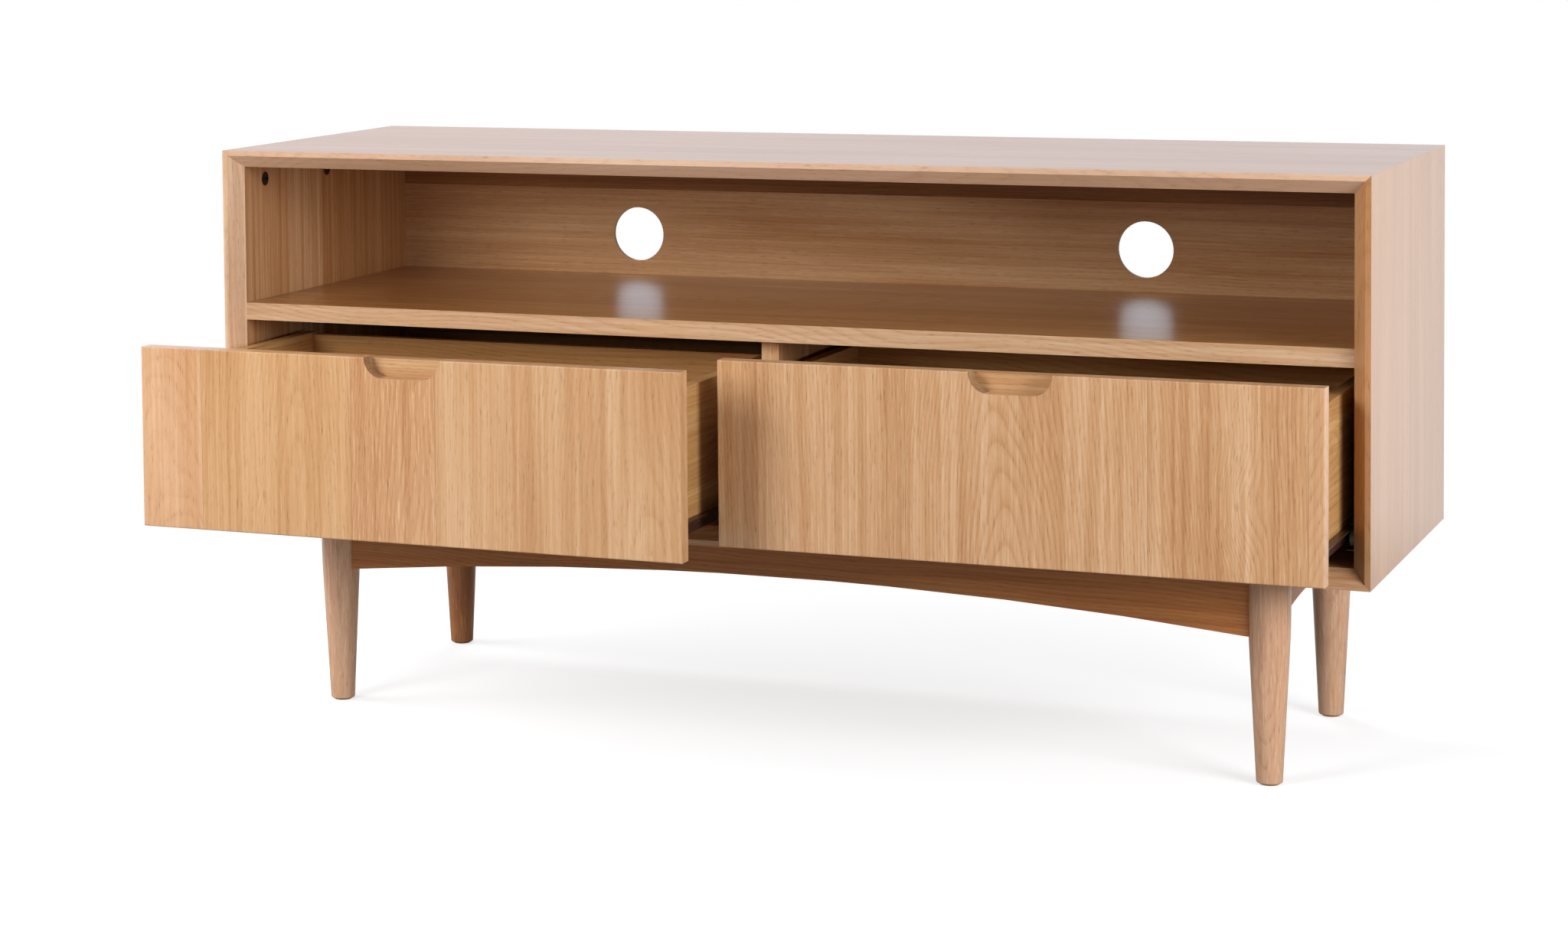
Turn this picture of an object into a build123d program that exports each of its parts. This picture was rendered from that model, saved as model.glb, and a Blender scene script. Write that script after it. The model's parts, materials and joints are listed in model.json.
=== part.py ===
from build123d import *
import os

os.makedirs("parts", exist_ok=True)

# A low media cabinet: a mitred carcass with an open compartment above two drawers, standing on
# round tapered legs and arched rails. Lengths are in millimetres. X runs along the width, Y from
# front to back and Z up from the floor. Every piece is drawn with y = 0 at the carcass front plane,
# and save() moves it to the part's frame, whose origin is the middle of the footprint.

# ---- Carcass ----
WIDTH = 1200.0
DEPTH = 400.0
CARCASS_HEIGHT = 385.0
BOARD = 18.0
EDGE_LIP = 5.5  # flat outer lip along the front edge of each carcass board
EDGE_BEVEL = 15.0  # depth over which the front edge slopes in to the board's inner face
SHELF_HEIGHT = 205.0  # carcass underside to shelf underside
BACK_THICKNESS = 5.0
BACK_REBATE = 9.0
BACK_CLEARANCE = 0.5
CABLE_HOLE_RADIUS = 30.0
CABLE_HOLE_X = 290.0
CABLE_HOLE_RISE = 45.5  # shelf top to hole centre

# ---- Base ----
LEG_HEIGHT = 202.0  # floor to carcass underside, glide included
LEG_INSET_X = 105.0  # carcass side to leg axis
LEG_INSET_FRONT = 55.0
LEG_INSET_BACK = 50.0
LEG_RADIUS = 20.25
LEG_STRAIGHT = 50.0  # length of the parallel part at the top
LEG_SHOULDER = 900.0  # radius that blends the parallel part into the taper
FOOT_RADIUS = 12.5
FOOT_ROUND = 1.75
GLIDE_RADIUS = 9.0
GLIDE_HEIGHT = 1.5
NAIL_RADIUS = 1.25
NAIL_LENGTH = 15.0
APRON_BOARD = 20.0
LONG_APRON_MIDDLE = 35.6
LONG_APRON_END = 60.0
SIDE_APRON_MIDDLE = 35.0
SIDE_APRON_END = 44.0
BRACE_INNER = 45.0  # from the inner corner of the aprons to the near edge of the brace
BRACE_OUTER = 70.0
BRACE_HEIGHT = 25.0

# ---- Drawers ----
LEFT_OPEN = 221.0  # how far each drawer stands out of its closed place
RIGHT_OPEN = 129.0
FRONT_BOARD = 18.0
FRONT_GAP = 1.5  # at the side panels, between the fronts and under the shelf
FRONT_FLOOR_GAP = 5.0
FRONT_ROUND = 1.5
PULL_WIDTH = 81.0
PULL_DEPTH = 20.0
DIVIDER_GAP = 2.0  # behind a closed front
BOX_LENGTH = 316.0
BOX_BOARD = 12.0
BOX_FRONT_BOARD = 15.0
BOX_BOTTOM = 5.0
BOX_BOTTOM_RISE = 10.0  # box underside to the bottom panel
BOX_LIFT = 22.0  # carcass floor to box underside
BOX_FRONT_DROP = 2.5  # front's top edge to the box front's
BOX_SIDE_DROP = 23.5
BOX_BACK_DROP = 25.5
GROOVE_DEPTH = 6.0
GROOVE_CLEARANCE = 0.2

# ---- Runners and rollers ----
SIDE_GAP = 12.5  # drawer side to wall, which the runner fills
STEEL = 1.2
RUNNER_LENGTH = 300.0
RAIL_RISE = 13.0  # box underside to the top of the drawer runner's rail
RAIL_EDGE = 4.0  # wall to the rail's free edge
RUNNER_HEADROOM = 1.8
CHANNEL_LIP = 8.0  # how far the channel's top flange stands from the wall
ROLLER_RADIUS = 9.7
ROLLER_CHAMFER = 0.6
ROLL_GAP = 0.3  # between a roller and the track that it carries or runs on
ROLL_PLAY = 0.5
ROLLER_END_GAP = 0.4
FRONT_ROLLER_SETBACK = 14.0
REAR_ROLLER_SETBACK = 12.0
RIVET_RADIUS = 2.5
RIVET_HEAD_RADIUS = 3.5
RIVET_HEAD = 0.8
RIVET_FIT = 0.06
RIVET_SIDE_CLEARANCE = 1.0

# ---- Dowels, splines, screws and cams ----
FIT = 0.05  # radial clearance of a dowel, bolt or screw in its hole
COPE_CLEARANCE = 0.15
DOWEL_RADIUS = 4.0
DOWEL_LENGTH = 30.0
DOWEL_COVER = 8.0  # wood left beyond a dowel in a board's face
DOWEL_INSET = 45.0
DOWEL_IN_LEG = 12.0
APRON_DOWEL_DROPS = (12.0, 32.0)
BOX_DOWEL_RADIUS = 3.0
BOX_DOWEL_LENGTH = 24.0
BOX_DOWEL_COVER = 4.0
BOX_DOWEL_INSET = 30.0
SPLINE_THICKNESS = 4.0
SPLINE_WIDTH = 12.0
SPLINE_OFFSET = 11.0  # along the mitre, from the inner corner
SPLINE_END_GAP = 25.0
CAM_RADIUS = 7.5
CAM_DEPTH = 12.0
CAM_DROP = 16.0  # top panel's inner face to cam centre
CAM_YS = (60.0, 201.6)
CAM_SLOT = 2.0
CAM_BOLT_RADIUS = 3.0
CAM_BOLT_COVER = 2.0
BOLT_RADIUS = 4.0
BOLT_IN_LEG = 35.0
BOLT_COVER = 6.0
SCREW_RADIUS = 1.5
SCREW_HEAD_RADIUS = 2.6
SCREW_HEAD = 1.2
RUNNER_SCREW_DEPTH = 8.0
RUNNER_SCREW_DROP = 3.6  # rail underside to the screw's axis
RUNNER_SCREW_FRONT = 78.0  # front end of the runner to the first screw
RUNNER_SCREW_REAR = 60.0  # rear end of the runner to the second screw
BRACE_SCREW_RADIUS = 2.0
BRACE_SCREW_HEAD_RADIUS = 4.0
BACK_SCREW_LENGTH = 20.0
BACK_SCREW_HEAD_RADIUS = 3.0
BACK_SCREW_INSET = 40.0
FRONT_SCREW_DEPTH = 10.0  # how far a screw enters the drawer front
FRONT_SCREW_INSET_X = 60.0
FRONT_SCREW_INSET_Z = 30.0

# ---- Levels and planes that follow ----
CARCASS_Z = LEG_HEIGHT
TOP_Z = CARCASS_Z + CARCASS_HEIGHT
CEILING_Z = TOP_Z - BOARD
FLOOR_Z = CARCASS_Z + BOARD
SHELF_Z = CARCASS_Z + SHELF_HEIGHT
SHELF_TOP_Z = SHELF_Z + BOARD
INNER_X = WIDTH / 2 - BOARD
BACK_Y = DEPTH - BACK_THICKNESS
LEDGE = BOARD - BACK_REBATE / 2  # carcass outer face to the middle of the back's rebate
LEG_X = WIDTH / 2 - LEG_INSET_X
LEG_YS = (LEG_INSET_FRONT, DEPTH - LEG_INSET_BACK)
LEGS = [(x, y) for y in LEG_YS for x in (-LEG_X, LEG_X)]
DIVIDER_Y = EDGE_BEVEL + FRONT_BOARD + DIVIDER_GAP

FRONT_Z = FLOOR_Z + FRONT_FLOOR_GAP
FRONT_TOP_Z = SHELF_Z - FRONT_GAP
FRONT_WIDTH = INNER_X - 1.5 * FRONT_GAP
FRONT_CENTRE_X = (INNER_X - FRONT_GAP / 2) / 2
FRONT_BACK_Y = EDGE_BEVEL + FRONT_BOARD
BAY_CENTRE_X = (INNER_X + BOARD / 2) / 2
BOX_HALF = (INNER_X - BOARD / 2) / 2 - SIDE_GAP  # bay centre to the outer face of a box side
BOX_INNER_HALF = BOX_HALF - BOX_BOARD
BOX_Z = FLOOR_Z + BOX_LIFT
BOX_FRONT_TOP_Z = FRONT_TOP_Z - BOX_FRONT_DROP
BOX_SIDE_TOP_Z = FRONT_TOP_Z - BOX_SIDE_DROP
BOX_BACK_TOP_Z = FRONT_TOP_Z - BOX_BACK_DROP
BOX_BOTTOM_Z = BOX_Z + BOX_BOTTOM_RISE
BOX_INNER_Y = FRONT_BACK_Y + BOX_FRONT_BOARD
BOX_END_Y = FRONT_BACK_Y + BOX_LENGTH
BOX_BACK_Y = BOX_END_Y - BOX_BOARD

RAIL_TOP_Z = BOX_Z + RAIL_RISE
RAIL_Z = RAIL_TOP_Z - STEEL
TRACK_Z = RAIL_Z - 2 * ROLLER_RADIUS - ROLL_GAP - ROLL_PLAY  # upper face of the channel's bottom flange
CHANNEL_TOP_Z = RAIL_TOP_Z + RUNNER_HEADROOM + STEEL
CHANNEL_EDGE = SIDE_GAP - STEEL - ROLL_GAP
FRONT_ROLLER_Y = DIVIDER_Y + FRONT_ROLLER_SETBACK
FRONT_ROLLER_Z = RAIL_Z - ROLL_GAP - ROLLER_RADIUS
REAR_ROLLER_Y = FRONT_BACK_Y + RUNNER_LENGTH - REAR_ROLLER_SETBACK
REAR_ROLLER_Z = TRACK_Z + ROLL_GAP + ROLLER_RADIUS
ROLLER_WIDTH = SIDE_GAP - 2 * STEEL - ROLLER_END_GAP - ROLL_GAP - RIVET_HEAD - RIVET_SIDE_CLEARANCE
RUNNER_SCREW_Z = RAIL_Z - RUNNER_SCREW_DROP
RUNNER_SCREW_YS = (RUNNER_SCREW_FRONT, RUNNER_LENGTH - RUNNER_SCREW_REAR)  # from its front end

DRAWERS = {"left": (-1, LEFT_OPEN), "right": (1, RIGHT_OPEN)}
WALLS = {"left": -1, "right": 1}
REACH = max(LEFT_OPEN, RIGHT_OPEN, EDGE_BEVEL) - EDGE_BEVEL  # carcass front to the furthest front
FRONT_Y = (REACH - DEPTH) / 2


# ---- Helpers ----
def save(name, shape):
    """Moves a piece to the part's frame and writes it as its own STEP file."""
    export_step(Pos(0, FRONT_Y, 0) * shape, f"parts/{name}.step")


def block(x_span, y_span, z_span):
    """A box between two corners; a span may be given either way round."""
    spans = (x_span, y_span, z_span)
    size = [abs(end - start) for start, end in spans]
    centre = [(start + end) / 2 for start, end in spans]
    return Pos(*centre) * Box(*size)


def prism(plane, points, length):
    """An outline in a plane's own two axes, extruded along the plane's normal."""
    return extrude(plane * Polygon(*points, align=None), length, dir=plane.z_dir)


def rod(start, end, radius, fit=0.0):
    """A cylinder between two points; fit widens it and lengthens both ends, for a hole."""
    axis = Vector(*end) - Vector(*start)
    plane = Plane(origin=start, z_dir=axis)
    return extrude(plane.offset(-fit) * Circle(radius + fit), axis.length + 2 * fit, dir=plane.z_dir)


def spread(start, end, count):
    """Evenly spaced positions, the first and last included."""
    return [start + (end - start) * i / (count - 1) for i in range(count)]


def cross_recess(head_radius):
    """The driver recess of a screw head whose top is at z = 0."""
    slot = Box(1.2 * head_radius, 0.3 * head_radius, 0.6 * head_radius)
    return slot + Rot(0, 0, 90) * slot


def pan_screw(point, outward, depth, radius, head_radius, fit=0.0):
    """A screw with a raised flat head on the surface at point; fit gives the hole for its shank."""
    tip = Vector(*point) - Vector(*outward).normalized() * depth
    shank = rod(point, tuple(tip), radius, fit)
    if fit:
        return shank
    plane = Plane(origin=point, z_dir=outward)
    head = extrude(plane * Circle(head_radius), SCREW_HEAD, dir=plane.z_dir)
    return shank + head - plane.offset(SCREW_HEAD).location * cross_recess(head_radius)


def sunk_screw(point, outward, depth, radius, head_radius, fit=0.0):
    """A countersunk screw flush with the surface at point; fit gives its countersunk hole."""
    rise = head_radius - radius
    cone = Cone(radius + fit, head_radius + fit, rise, align=(Align.CENTER, Align.CENTER, Align.MAX))
    shank = Pos(0, 0, -rise) * Cylinder(
        radius + fit, depth - rise + fit, align=(Align.CENTER, Align.CENTER, Align.MAX)
    )
    body = cone + shank
    if not fit:
        body = body - cross_recess(head_radius)
    return Plane(origin=point, z_dir=outward).location * body


# ---- Carcass boards ----
def frame_board(length):
    """A mitred board of the outer frame, drawn outer face down with its length along X."""
    half = length / 2
    outline = [(-half, 0), (half, 0), (half - BOARD, BOARD), (BOARD - half, BOARD)]
    board = prism(Plane.XZ.offset(-DEPTH), outline, DEPTH)
    slope = [(0, EDGE_LIP), (EDGE_BEVEL, BOARD), (0, BOARD)]
    bevel = prism(Plane.YZ.offset(-half), slope, length)
    rebate = block((-half, half), (BACK_Y, DEPTH), (BOARD - BACK_REBATE, BOARD))
    return board - bevel - rebate


def back_panel():
    """The thin back in its rebates, with the two cable holes."""
    reach_x = INNER_X + BACK_REBATE - BACK_CLEARANCE
    bottom = FLOOR_Z - BACK_REBATE + BACK_CLEARANCE
    top = CEILING_Z + BACK_REBATE - BACK_CLEARANCE
    panel = block((-reach_x, reach_x), (BACK_Y, DEPTH), (bottom, top))
    z = SHELF_TOP_Z + CABLE_HOLE_RISE
    holes = [rod((x, BACK_Y, z), (x, DEPTH, z), CABLE_HOLE_RADIUS) for x in (-CABLE_HOLE_X, CABLE_HOLE_X)]
    return panel - holes


def back_screws(fit=0.0):
    """Countersunk screws round the rim of the back and into the shelf's rear edge."""
    reach = INNER_X - BACK_SCREW_INSET
    low = CARCASS_Z + LEDGE
    high = TOP_Z - LEDGE
    points = [(x, z) for z in (low, high) for x in spread(-reach, reach, 5)]
    points += [(x, SHELF_Z + BOARD / 2) for x in spread(-reach, reach, 4)]
    side = WIDTH / 2 - LEDGE
    rises = spread(low + BACK_SCREW_INSET, high - BACK_SCREW_INSET, 3)
    points += [(x, z) for z in rises for x in (-side, side)]
    out = (0, 1, 0)
    size = (BACK_SCREW_LENGTH, SCREW_RADIUS, BACK_SCREW_HEAD_RADIUS)
    return [sunk_screw((x, DEPTH, z), out, *size, fit) for x, z in points]


def shelf_dowels(fit=0.0):
    """Dowels from the shelf's ends into the side panels."""
    z = SHELF_Z + BOARD / 2
    tip = INNER_X + BOARD - DOWEL_COVER
    heel = tip - DOWEL_LENGTH
    ys = spread(EDGE_BEVEL + DOWEL_INSET, BACK_Y - DOWEL_INSET, 3)
    return [rod((s * heel, y, z), (s * tip, y, z), DOWEL_RADIUS, fit) for s in (-1, 1) for y in ys]


def divider_dowels(fit=0.0):
    """Dowels from the divider's ends into the carcass bottom and the shelf."""
    low_tip = CARCASS_Z + DOWEL_COVER
    high_tip = SHELF_TOP_Z - DOWEL_COVER
    ends = [(low_tip, low_tip + DOWEL_LENGTH), (high_tip - DOWEL_LENGTH, high_tip)]
    ys = spread(DIVIDER_Y + DOWEL_INSET, BACK_Y - DOWEL_INSET, 3)
    return [rod((0, y, low), (0, y, high), DOWEL_RADIUS, fit) for low, high in ends for y in ys]


def mitre_splines(fit=0.0):
    """Loose tongues across the four mitres, in the runs between the cams and the ends."""
    stops = (0.0, *CAM_YS, BACK_Y)
    runs = [(a + SPLINE_END_GAP, b - SPLINE_END_GAP) for a, b in zip(stops[1:], stops[2:])]
    shift = SPLINE_OFFSET / 2**0.5
    splines = []
    for x_side in (-1, 1):
        for z, z_side in ((FLOOR_Z, -1), (CEILING_Z, 1)):
            centre = (x_side * (INNER_X + shift), z + z_side * shift)
            for start, end in runs:
                tongue = Box(SPLINE_WIDTH + 2 * fit, end - start + 2 * fit, SPLINE_THICKNESS + 2 * fit)
                turned = Rot(0, -45 * x_side * z_side, 0) * tongue
                splines.append(Pos(centre[0], (start + end) / 2, centre[1]) * turned)
    return splines


def cams(fit=0.0):
    """Cam discs in the side panels' inner faces, each with its bolt up into the top panel."""
    z = CEILING_Z - CAM_DROP
    fittings = []
    for side in (-1, 1):
        for y in CAM_YS:
            face = side * INNER_X
            bed = side * (INNER_X + CAM_DEPTH)
            axis_x = side * (INNER_X + CAM_DEPTH / 2)
            bolt = rod((axis_x, y, z), (axis_x, y, TOP_Z - CAM_BOLT_COVER), CAM_BOLT_RADIUS, fit)
            fitting = rod((face, y, z), (bed, y, z), CAM_RADIUS, fit) + bolt
            if not fit:
                slot = Box(2 * CAM_SLOT, CAM_RADIUS * 1.5, CAM_SLOT)
                fitting = fitting - Pos(face, y, z) * slot
            fittings.append(fitting)
    return fittings


def make_carcass():
    """The mitred frame, shelf, divider and back, and what joins them."""
    mid_z = CARCASS_Z + CARCASS_HEIGHT / 2
    corner_holes = mitre_splines(FIT) + cams(FIT)
    shared = corner_holes + back_screws(FIT)
    top = Pos(0, 0, TOP_Z) * Rot(0, 180, 0) * frame_board(WIDTH) - shared
    low_holes = shared + divider_dowels(FIT) + leg_bolts(FIT) + brace_screws(FIT)
    bottom = Pos(0, 0, CARCASS_Z) * frame_board(WIDTH) - low_holes
    side_holes = shared + shelf_dowels(FIT) + channel_screws(FIT)
    for name, side in WALLS.items():
        panel = Pos(side * WIDTH / 2, 0, mid_z) * Rot(0, -90 * side, 0) * frame_board(CARCASS_HEIGHT)
        save(f"{name}_side_panel", panel - side_holes)
    shelf = block((-INNER_X, INNER_X), (EDGE_BEVEL, BACK_Y), (SHELF_Z, SHELF_TOP_Z))
    divider = block((-BOARD / 2, BOARD / 2), (DIVIDER_Y, BACK_Y), (FLOOR_Z, SHELF_Z))
    save("top_panel", top)
    save("bottom_panel", bottom)
    save("shelf", shelf - shelf_dowels(FIT) - divider_dowels(FIT) - back_screws(FIT))
    save("centre_divider", divider - divider_dowels(FIT) - channel_screws(FIT))
    save("back_panel", back_panel() - back_screws(FIT))
    save("back_panel_screws", Part() + back_screws())
    save("carcass_dowels", Part() + shelf_dowels() + divider_dowels())
    save("mitre_splines", Part() + mitre_splines())
    save("cam_fittings", Part() + cams())


# ---- Base ----
def leg(x, y, grow=0.0):
    """A round leg, parallel at the top and tapering to its foot; grow gives the space it takes."""
    shoulder_z = CARCASS_Z - LEG_STRAIGHT
    corners = [(0, GLIDE_HEIGHT), (FOOT_RADIUS + grow, GLIDE_HEIGHT), (LEG_RADIUS + grow, shoulder_z)]
    corners += [(LEG_RADIUS + grow, CARCASS_Z), (0, CARCASS_Z)]
    face = Polygon(*corners, align=None)
    foot = face.vertices().sort_by_distance((FOOT_RADIUS + grow, GLIDE_HEIGHT))[0]
    face = fillet(foot, FOOT_ROUND)
    shoulder = face.vertices().sort_by_distance((LEG_RADIUS + grow, shoulder_z))[0]
    face = fillet(shoulder, LEG_SHOULDER)
    return Pos(x, y, 0) * revolve(Plane.XZ * face, Axis.Z)


def leg_bolts(fit=0.0):
    """Hanger bolts that hold the legs to the carcass bottom."""
    low = CARCASS_Z - BOLT_IN_LEG
    high = FLOOR_Z - BOLT_COVER
    return [rod((x, y, low), (x, y, high), BOLT_RADIUS, fit) for x, y in LEGS]


def glide(x, y):
    """A round glide under a foot, with the nail that holds it."""
    return rod((x, y, 0), (x, y, GLIDE_HEIGHT), GLIDE_RADIUS) + glide_nail(x, y)


def glide_nail(x, y, fit=0.0):
    """The nail of a glide, up into the foot."""
    return rod((x, y, GLIDE_HEIGHT), (x, y, GLIDE_HEIGHT + NAIL_LENGTH), NAIL_RADIUS, fit)


def apron(span, middle, end):
    """A rail between two leg axes along X, its top at z = 0 and its lower edge arched."""
    half = span / 2
    foot = half - LEG_RADIUS
    outline = Polyline((-foot, -end), (-half, -end), (-half, 0), (half, 0), (half, -end), (foot, -end))
    arch = ThreePointArc((foot, -end), (0, -middle), (-foot, -end))
    face = make_face(Curve() + [outline, arch])
    plane = Plane.XZ.offset(-APRON_BOARD / 2)
    return extrude(plane * face, APRON_BOARD, dir=plane.z_dir)


def apron_dowels(fit=0.0):
    """Two dowels from each end of every apron into the leg beside it."""
    heel = LEG_RADIUS - DOWEL_IN_LEG
    tip = heel + DOWEL_LENGTH
    dowels = []
    for x, y in LEGS:
        to_middle_x = 1 if x < 0 else -1
        to_middle_y = 1 if y == LEG_YS[0] else -1
        for drop in APRON_DOWEL_DROPS:
            z = CARCASS_Z - drop
            start, end = x + to_middle_x * heel, x + to_middle_x * tip
            dowels.append(rod((start, y, z), (end, y, z), DOWEL_RADIUS, fit))
            start, end = y + to_middle_y * heel, y + to_middle_y * tip
            dowels.append(rod((x, start, z), (x, end, z), DOWEL_RADIUS, fit))
    return dowels


def brace_corners():
    """The inner corner of the aprons at each leg, with the ways in X and Y to the middle."""
    inner_x = LEG_X - APRON_BOARD / 2
    inner_ys = (LEG_YS[0] + APRON_BOARD / 2, LEG_YS[1] - APRON_BOARD / 2)
    ways = zip(inner_ys, (1, -1))
    return [(side * inner_x, y, -side, y_way) for y, y_way in ways for side in (-1, 1)]


def corner_brace(x, y, x_way, y_way):
    """A block across the corner between two aprons, against the carcass underside."""
    near, far = BRACE_INNER, BRACE_OUTER
    outline = [(near, 0), (far, 0), (0, far), (0, near)]
    points = [(x + x_way * across, y + y_way * along) for across, along in outline]
    return prism(Plane.XY.offset(CARCASS_Z - BRACE_HEIGHT), points, BRACE_HEIGHT)


def brace_screws(fit=0.0):
    """One screw up through each brace into the carcass bottom."""
    middle = (BRACE_INNER + BRACE_OUTER) / 4
    depth = BRACE_HEIGHT + BOARD - BOLT_COVER
    z = CARCASS_Z - BRACE_HEIGHT
    points = [(x + x_way * middle, y + y_way * middle, z) for x, y, x_way, y_way in brace_corners()]
    size = (depth, BRACE_SCREW_RADIUS, BRACE_SCREW_HEAD_RADIUS)
    return [pan_screw(point, (0, 0, -1), *size, fit) for point in points]


def make_base():
    """Legs, glides, aprons, braces and their fixings."""
    names = [f"{row}_{side}" for row in ("front", "rear") for side in ("left", "right")]
    leg_spaces = [leg(x, y, COPE_CLEARANCE) for x, y in LEGS]
    dowel_holes = apron_dowels(FIT)
    bolt_holes = leg_bolts(FIT)
    for name, (x, y) in zip(names, LEGS):
        save(f"{name}_leg", leg(x, y) - dowel_holes - bolt_holes - glide_nail(x, y, FIT))
        save(f"{name}_glide", glide(x, y))
    long_apron = apron(2 * LEG_X, LONG_APRON_MIDDLE, LONG_APRON_END)
    side_apron = Rot(0, 0, 90) * apron(LEG_YS[1] - LEG_YS[0], SIDE_APRON_MIDDLE, SIDE_APRON_END)
    mid_y = sum(LEG_YS) / 2
    aprons = {
        "front": (long_apron, 0, LEG_YS[0]),
        "rear": (long_apron, 0, LEG_YS[1]),
        "left": (side_apron, -LEG_X, mid_y),
        "right": (side_apron, LEG_X, mid_y),
    }
    for name, (blank, x, y) in aprons.items():
        save(f"{name}_apron", Pos(x, y, CARCASS_Z) * blank - leg_spaces - dowel_holes)
    braces = [corner_brace(*corner) for corner in brace_corners()]
    save("apron_dowels", Part() + apron_dowels())
    save("corner_braces", Part() + braces - brace_screws(FIT))
    save("base_fixings", Part() + leg_bolts() + brace_screws())


# ---- Runners ----
def bay_walls():
    """Each bay wall as (drawer, side, wall x, way in from the wall)."""
    walls = []
    for drawer, (bay, _) in DRAWERS.items():
        centre = bay * BAY_CENTRE_X
        for side, way in WALLS.items():
            walls.append((drawer, side, centre + way * (BOX_HALF + SIDE_GAP), -way))
    return walls


def channel(wall, way):
    """The cabinet runner: a channel on the wall, with the rivet of its front roller."""
    def layer(near, far, low, high):
        span = (wall + way * near, wall + way * far)
        return block(span, (DIVIDER_Y, DIVIDER_Y + RUNNER_LENGTH), (low, high))

    web = layer(0, STEEL, TRACK_Z - STEEL, CHANNEL_TOP_Z)
    track = layer(0, CHANNEL_EDGE, TRACK_Z - STEEL, TRACK_Z)
    cover = layer(0, CHANNEL_LIP, CHANNEL_TOP_Z - STEEL, CHANNEL_TOP_Z)
    pin = rivet(wall + way * STEEL, way, FRONT_ROLLER_Y, FRONT_ROLLER_Z)
    return web + track + cover + pin - channel_screws(FIT)


def drawer_runner(wall, way):
    """The drawer runner: flange, foot under the side and rail, with the rivet of its rear roller."""
    def layer(near, far, low, high):
        span = (wall + way * near, wall + way * far)
        return block(span, (FRONT_BACK_Y, FRONT_BACK_Y + RUNNER_LENGTH), (low, high))

    face = SIDE_GAP - STEEL
    flange = layer(face, SIDE_GAP, BOX_Z - STEEL, RAIL_TOP_Z)
    foot = layer(face, SIDE_GAP + BOX_BOARD, BOX_Z - STEEL, BOX_Z)
    rail = layer(RAIL_EDGE, face, RAIL_Z, RAIL_TOP_Z)
    pin = rivet(wall + way * face, -way, REAR_ROLLER_Y, REAR_ROLLER_Z)
    return flange + foot + rail + pin - runner_screws(wall, way, FIT)


def rivet(face_x, way, y, z):
    """A headed pin that stands on a runner and carries a roller."""
    neck = ROLLER_END_GAP + ROLLER_WIDTH + ROLL_GAP
    shoulder_x = face_x + way * neck
    shaft = rod((face_x, y, z), (shoulder_x, y, z), RIVET_RADIUS)
    return shaft + rod((shoulder_x, y, z), (shoulder_x + way * RIVET_HEAD, y, z), RIVET_HEAD_RADIUS)


def roller(face_x, way, y, z):
    """A nylon roller on a rivet, a little clear of the runner it stands on."""
    start = face_x + way * ROLLER_END_GAP
    end = start + way * ROLLER_WIDTH
    wheel = rod((start, y, z), (end, y, z), ROLLER_RADIUS)
    wheel = chamfer(wheel.edges().filter_by(GeomType.CIRCLE), ROLLER_CHAMFER)
    return wheel - rod((start, y, z), (end, y, z), RIVET_RADIUS + RIVET_FIT)


def channel_screws(fit=0.0):
    """Screws that hold the cabinet runners to the side panels and the divider."""
    screws = []
    for _, _, wall, way in bay_walls():
        for offset in RUNNER_SCREW_YS:
            point = (wall + way * STEEL, DIVIDER_Y + offset, RUNNER_SCREW_Z)
            depth = RUNNER_SCREW_DEPTH + STEEL
            screws.append(pan_screw(point, (way, 0, 0), depth, SCREW_RADIUS, SCREW_HEAD_RADIUS, fit))
    return screws


def runner_screws(wall, way, fit=0.0):
    """Screws that hold a drawer runner to its box side, drawn in the closed place."""
    screws = []
    for offset in RUNNER_SCREW_YS:
        point = (wall + way * (SIDE_GAP - STEEL), FRONT_BACK_Y + offset, RUNNER_SCREW_Z)
        depth = RUNNER_SCREW_DEPTH + STEEL
        screws.append(pan_screw(point, (-way, 0, 0), depth, SCREW_RADIUS, SCREW_HEAD_RADIUS, fit))
    return screws


def make_cabinet_runners():
    """The four channels on the bay walls, their screws and their front rollers."""
    for drawer, side, wall, way in bay_walls():
        save(f"{drawer}_bay_runner_{side}", channel(wall, way))
        face = wall + way * STEEL
        save(f"{drawer}_bay_roller_{side}", roller(face, way, FRONT_ROLLER_Y, FRONT_ROLLER_Z))
    save("cabinet_runner_screws", Part() + channel_screws())


# ---- Drawers, drawn closed ----
def drawer_front(centre_x):
    """The front board, with rounded arrises and the finger pull in its top edge."""
    half = FRONT_WIDTH / 2
    board = block((centre_x - half, centre_x + half), (EDGE_BEVEL, FRONT_BACK_Y), (FRONT_Z, FRONT_TOP_Z))
    face = board.faces().sort_by(Axis.Y)[0]
    board = fillet(face.edges(), FRONT_ROUND)
    flat = PULL_WIDTH / 2 - PULL_DEPTH
    low = FRONT_TOP_Z - PULL_DEPTH
    pull = block((centre_x - flat, centre_x + flat), (EDGE_BEVEL, FRONT_BACK_Y), (low, FRONT_TOP_Z))
    for x in (centre_x - flat, centre_x + flat):
        pull = pull + rod((x, EDGE_BEVEL, FRONT_TOP_Z), (x, FRONT_BACK_Y, FRONT_TOP_Z), PULL_DEPTH)
    return board - pull


def box_bottom(centre_x, clearance):
    """The bottom panel in its grooves; a clearance of zero gives the grooves themselves."""
    half = BOX_INNER_HALF + GROOVE_DEPTH - clearance
    y_span = (BOX_INNER_Y - GROOVE_DEPTH + clearance, BOX_BACK_Y + GROOVE_DEPTH - clearance)
    z_span = (BOX_BOTTOM_Z, BOX_BOTTOM_Z + BOX_BOTTOM)
    return block((centre_x - half, centre_x + half), y_span, z_span)


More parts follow.
